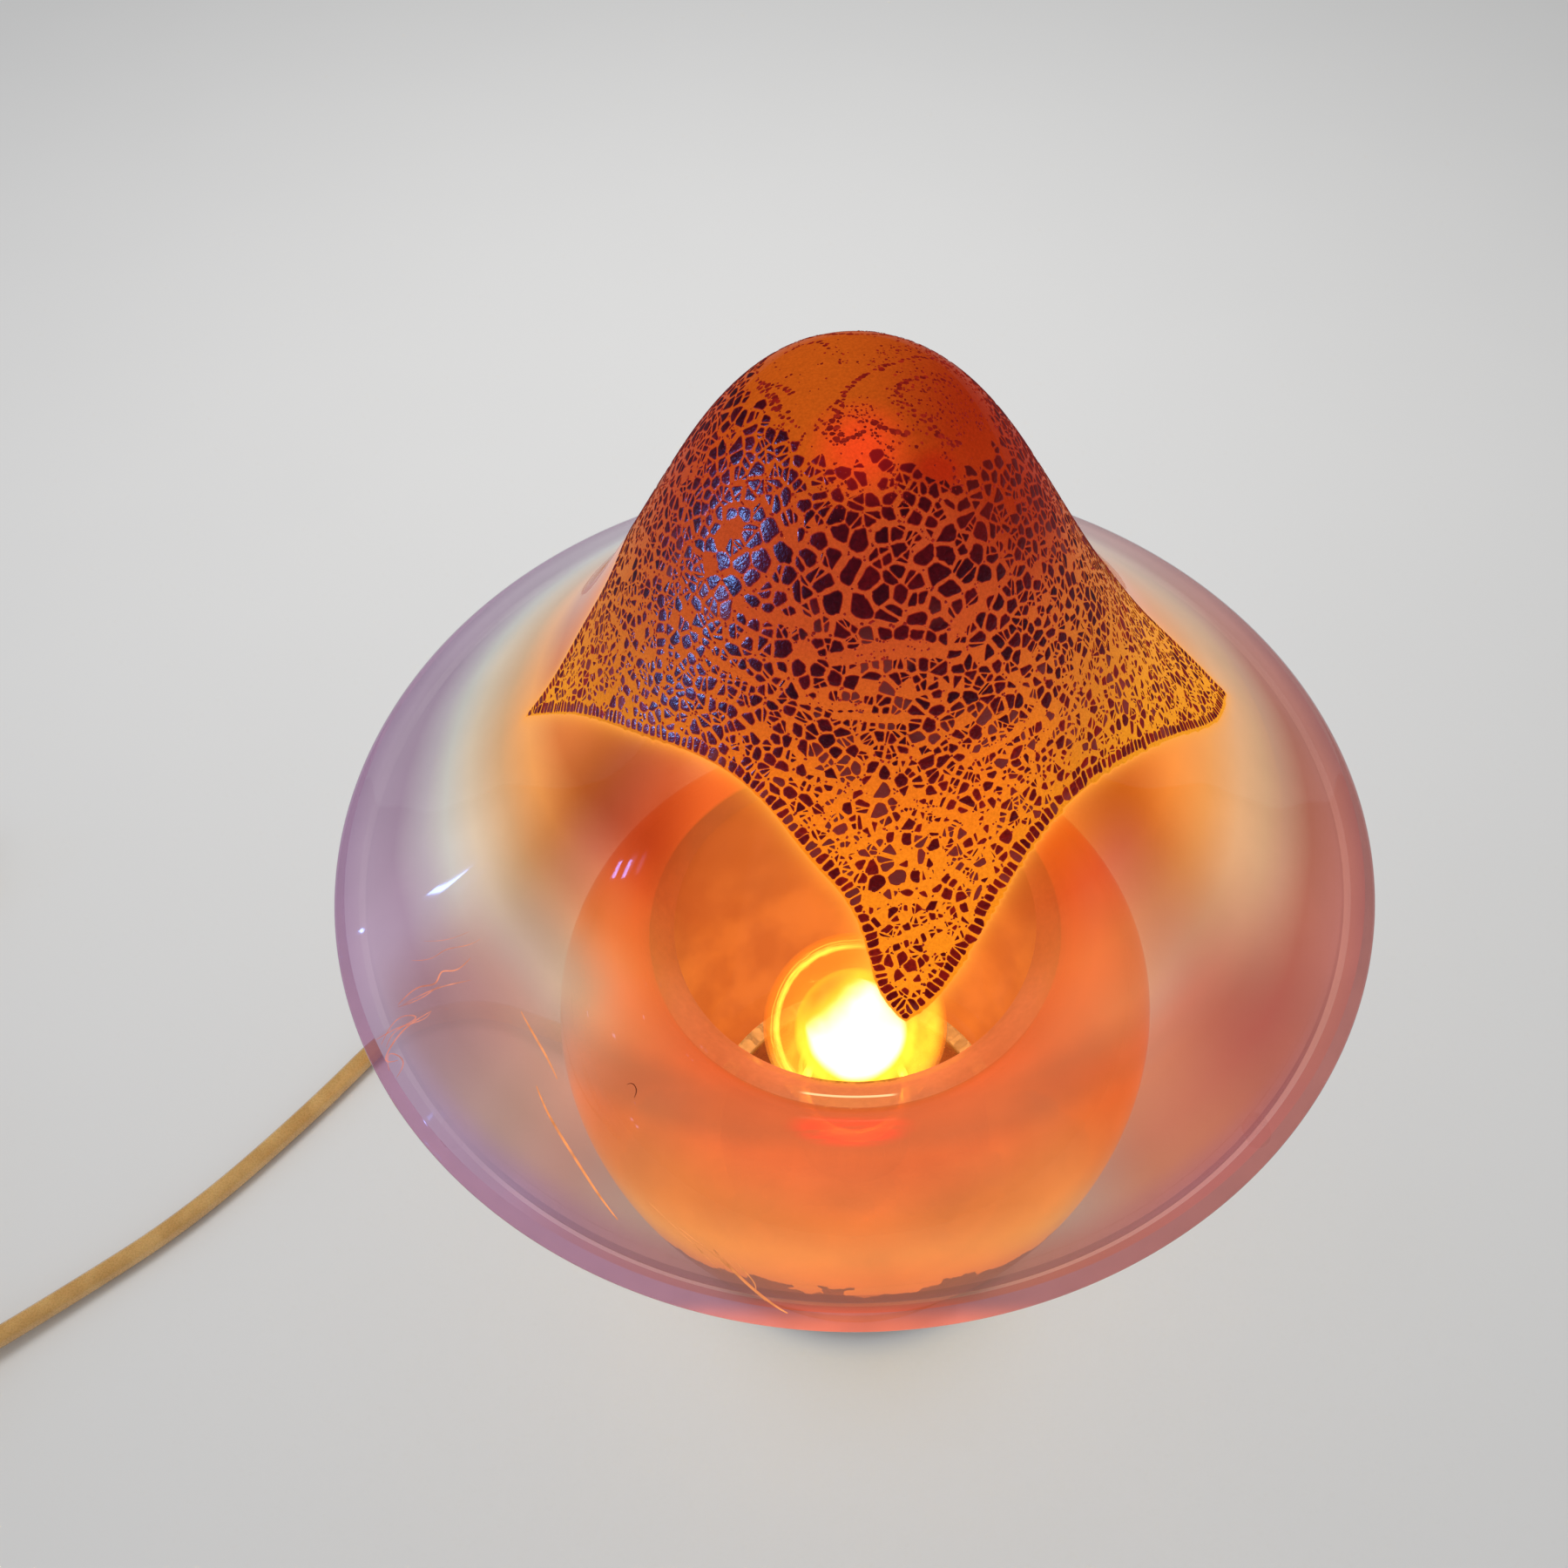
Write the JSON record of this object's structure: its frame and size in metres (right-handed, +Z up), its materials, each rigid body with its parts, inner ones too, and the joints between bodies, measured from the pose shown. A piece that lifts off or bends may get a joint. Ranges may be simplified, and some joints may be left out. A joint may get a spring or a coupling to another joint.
{
  "type": "mushroom lamp",
  "caption": "Mushroom-shaped table lamp of blown glass: lift-off crackled cap on a belly base with a screw bulb, metal foot, mains cord, in-line rocker switch and plug.",
  "frame": {"origin": "middle of the foot, on the surface the lamp stands on", "axes": "+Z up along the lamp's axis; -Y is the front; the cord leaves at the left (-X), slightly to the back"},
  "size_m": [0.5531, 0.2811, 0.3163],
  "materials": {
    "cap_glass": "clear blown glass with a rainbow lustre, crackled metal leaf over the crown",
    "base_glass": "clear blown glass with a rainbow lustre, crackled metal leaf over the belly",
    "clear_silicone": "clear soft silicone",
    "felt": "dark green wool felt",
    "foot_brass": "spun and lacquered, satin",
    "cover_plastic": "fine moulded texture",
    "gasket_rubber": "matt",
    "spring_steel": "blued spring steel",
    "zinc_steel": "zinc plated",
    "nipple_brass": "turned",
    "holder_plastic": "moulded thermoset",
    "holder_insert": "unglazed steatite",
    "contact_brass": "stamped sheet",
    "bulb_glass": "inside frosted",
    "bulb_metal": "nickel plated rolled sheet",
    "bulb_insulator": "black vitrite",
    "bulb_stem": "clear lead glass",
    "bulb_wire": "drawn wire",
    "filament": "glowing coil",
    "cord_sheath": "translucent gold sheath",
    "wire_brown": "extruded insulation",
    "wire_blue": "extruded insulation",
    "clamp_plastic": "moulded nylon",
    "switch_plastic": "moulded, gold to match the cord",
    "rocker_plastic": "moulded, polished",
    "plug_plastic": "moulded, gold to match the cord",
    "pin_nickel": "nickel plated brass",
    "pin_sleeve": "moulded sleeve",
    "tie_plastic": "coated wire strip"
  },
  "bodies": {
    "base": {"base_bowl": "base_glass", "base_belly": "base_glass", "base_shoulder": "base_glass", "base_collar": "base_glass", "rim_bumpers": "clear_silicone", "foot_felt": "felt", "foot_pan": "foot_brass", "cover_posts": "zinc_steel", "cover_screws": "zinc_steel", "bottom_cover": "cover_plastic", "glass_gasket": "gasket_rubber", "glass_clips": "spring_steel", "clip_rivets": "zinc_steel", "nipple": "nipple_brass", "nipple_nuts": "nipple_brass", "nipple_washer": "zinc_steel", "holder_base": "holder_plastic", "holder_sleeve": "holder_plastic", "holder_insert": "holder_insert", "holder_shell": "contact_brass", "centre_contact": "contact_brass", "terminal_screws": "zinc_steel", "cord_relief": "cord_sheath", "cord_inside": "cord_sheath", "wire_live": "wire_brown", "wire_neutral": "wire_blue", "cord_clamp": "clamp_plastic", "clamp_seat": "clamp_plastic", "clamp_screws": "zinc_steel", "cord_lamp_run": "cord_sheath", "switch_case_lower": "switch_plastic", "switch_case_upper": "switch_plastic", "switch_screws": "zinc_steel", "switch_pin": "zinc_steel", "switch_terminals": "contact_brass", "cord_supply_run": "cord_sheath", "cord_coil": "cord_sheath", "cord_tail": "cord_sheath", "coil_tie": "tie_plastic", "plug_relief": "plug_plastic", "plug_body": "plug_plastic", "plug_pins": "pin_nickel", "plug_pin_sleeves": "pin_sleeve"},
    "cap": {"cap_glass": "cap_glass"},
    "bulb_rise": {"bulb_tip": "bulb_metal"},
    "bulb": {"bulb_cap": "bulb_metal", "bulb_insulator": "bulb_insulator", "bulb_glass": "bulb_glass", "bulb_stem": "bulb_stem", "bulb_leads": "bulb_wire", "bulb_filament": "filament"},
    "rocker": {"switch_rocker": "rocker_plastic"}
  },
  "joints": [
    {"name": "cap_lift", "type": "slide", "parent": "base", "child": "cap", "axis": [0, 0, 1], "range_m": [0, 0.15]},
    {"name": "bulb_turn_rise", "type": "slide", "parent": "base", "child": "bulb_rise", "axis": [0, 0, 1], "range_m": [0, 0.01812]},
    {"name": "bulb_turn", "type": "hinge", "parent": "bulb_rise", "child": "bulb", "pos_m": [0, 0, 0.02], "axis": [0, 0, 1], "range_deg": [0, 1800]},
    {"name": "rocker_tilt", "type": "hinge", "parent": "base", "child": "rocker", "pos_m": [-0.31322, -0.0997, 0.0132], "axis": [0.6157, -0.788, 0], "range_deg": [-16, 0]}
  ],
  "couplings": [
    {"joint": "bulb_turn_rise", "follows": "bulb_turn", "m_per_rad": 0.00057614}
  ]
}
